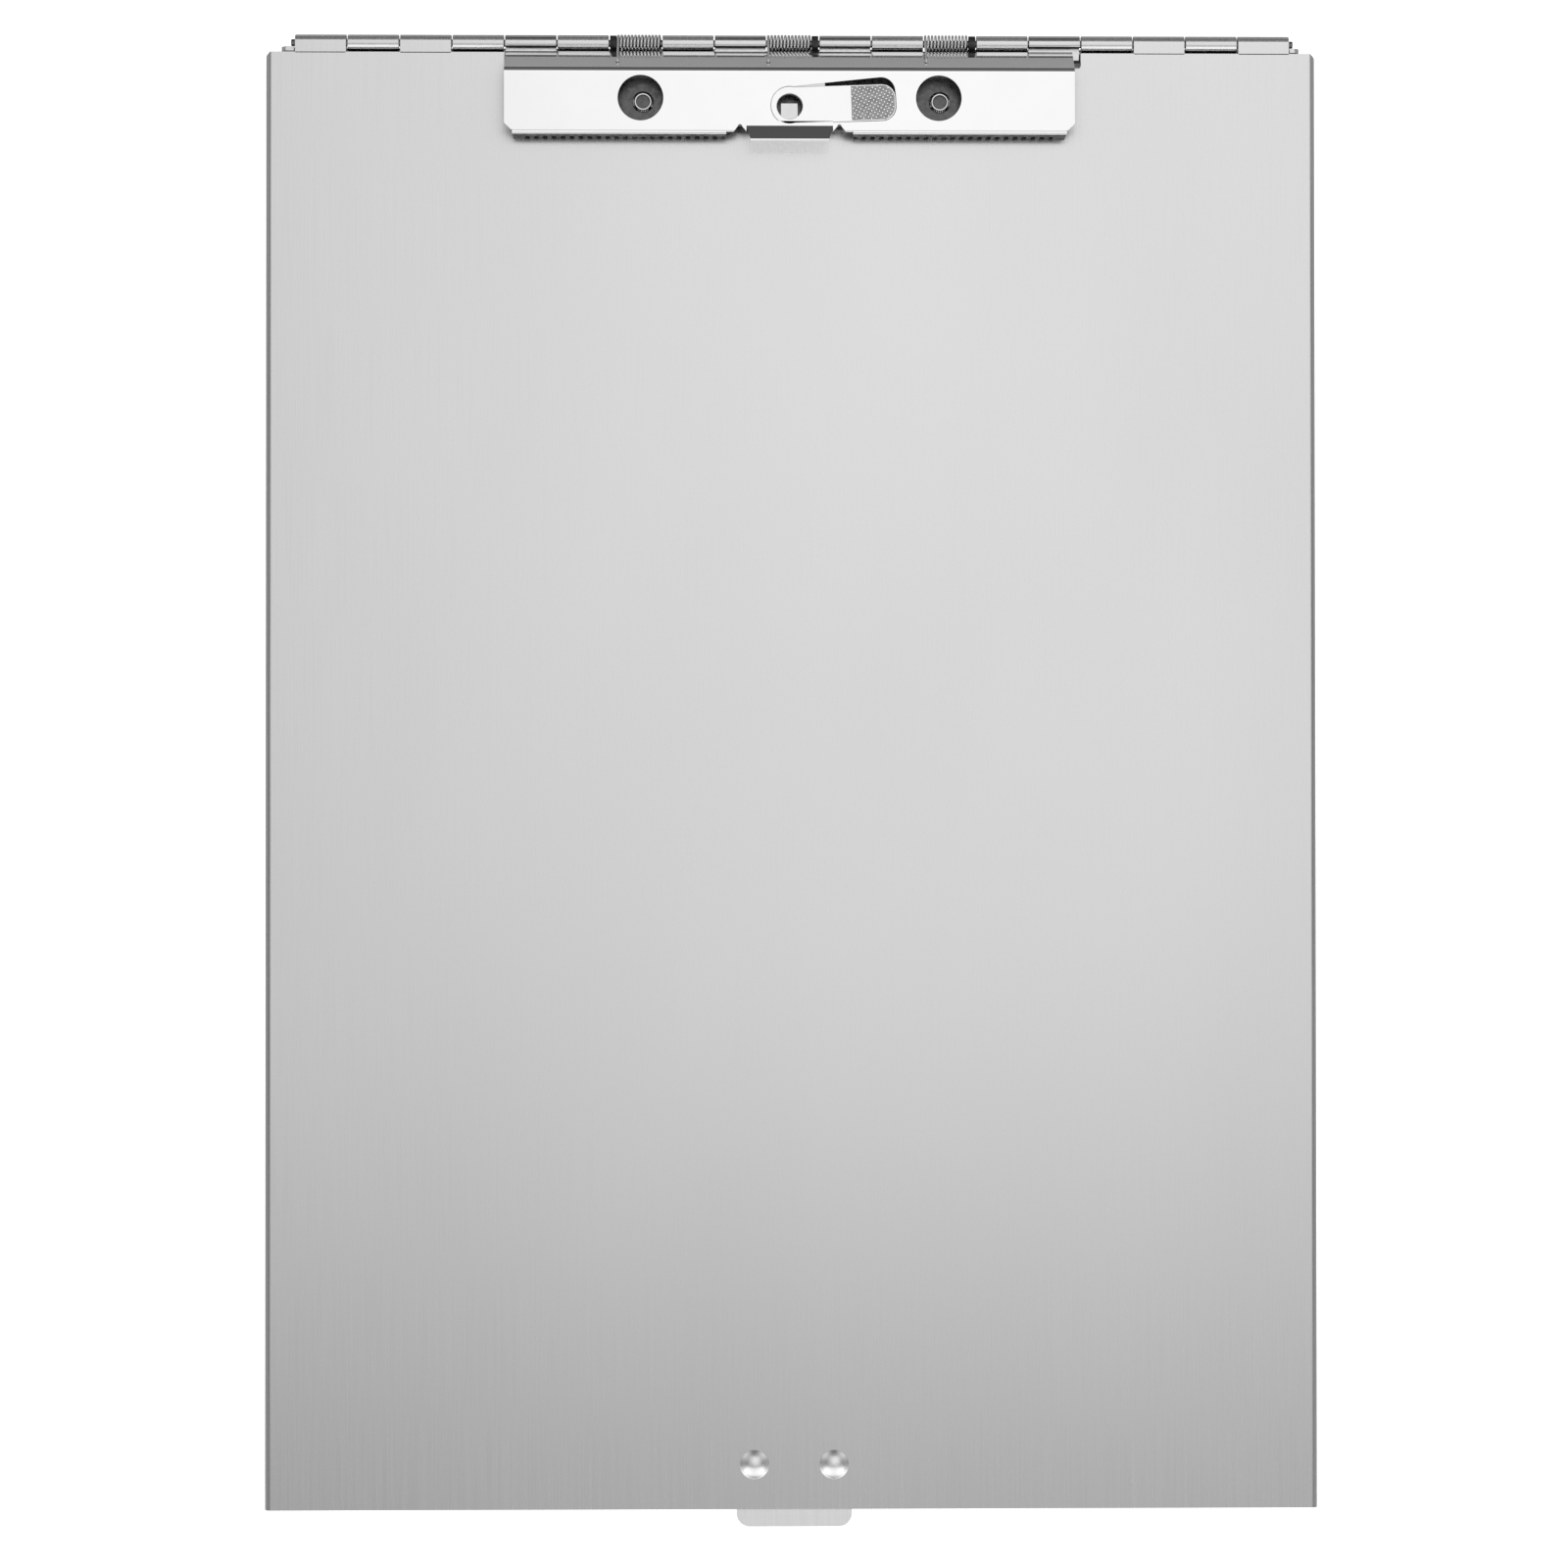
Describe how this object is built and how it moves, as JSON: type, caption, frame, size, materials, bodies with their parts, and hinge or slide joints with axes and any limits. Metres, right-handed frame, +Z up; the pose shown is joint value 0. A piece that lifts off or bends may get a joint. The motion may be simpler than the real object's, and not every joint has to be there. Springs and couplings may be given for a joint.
{
  "type": "storage clipboard box",
  "caption": "Flat aluminium paper box whose top-hinged lid is a writing board, with a sprung toothed paper clip on the hinge pin and a finger latch at the front edge.",
  "frame": {"origin": "under the middle of the closed box, on the surface it lies on", "axes": "+X to the right seen from the clip's open side, +Y towards the hinge, +Z up"},
  "size_m": [0.238, 0.3382, 0.0243],
  "materials": {
    "tray_sheet": "rolled sheet, faint grain along its length",
    "board_sheet": "fine brushed grain along its length",
    "pin_steel": "dull drawn wire",
    "plated_steel": "bright plated steel",
    "clip_chrome": "polished nickel or chrome plate",
    "lever_chrome": "polished plate with a knurled thumb pad",
    "spring_steel": "bright spring wire",
    "latch_sheet": "smooth sheet",
    "rivet_metal": "smooth domed heads"
  },
  "bodies": {
    "tray": {"tray": "tray_sheet", "hinge_pin": "pin_steel"},
    "board": {"board": "board_sheet", "base_plate": "plated_steel", "base_rivets": "plated_steel", "lock_stud": "plated_steel", "spring_left": "spring_steel", "spring_middle": "spring_steel", "spring_right": "spring_steel", "latch_strip": "latch_sheet", "dome_rivets": "rivet_metal"},
    "clip": {"clip_plate": "clip_chrome", "lever_bridge": "plated_steel"},
    "lever": {"lever": "lever_chrome"}
  },
  "joints": [
    {"name": "board_hinge", "type": "hinge", "parent": "tray", "child": "board", "pos_m": [0, 0.16703, 0.01285], "axis": [-1, 0, 0], "range_deg": [0, 180]},
    {"name": "clip_hinge", "type": "hinge", "parent": "board", "child": "clip", "pos_m": [0, 0.16703, 0.01285], "axis": [-1, 0, 0], "range_deg": [0, 30], "stiffness_Nm_per_rad": 0.2, "springref_deg": -45.84, "deforming": ["spring_left", "spring_middle", "spring_right"]},
    {"name": "lever_swing", "type": "hinge", "parent": "clip", "child": "lever", "pos_m": [-0.0005, 0.15138, 0.0214], "axis": [0, 0, 1], "range_deg": [0, 4]}
  ]
}
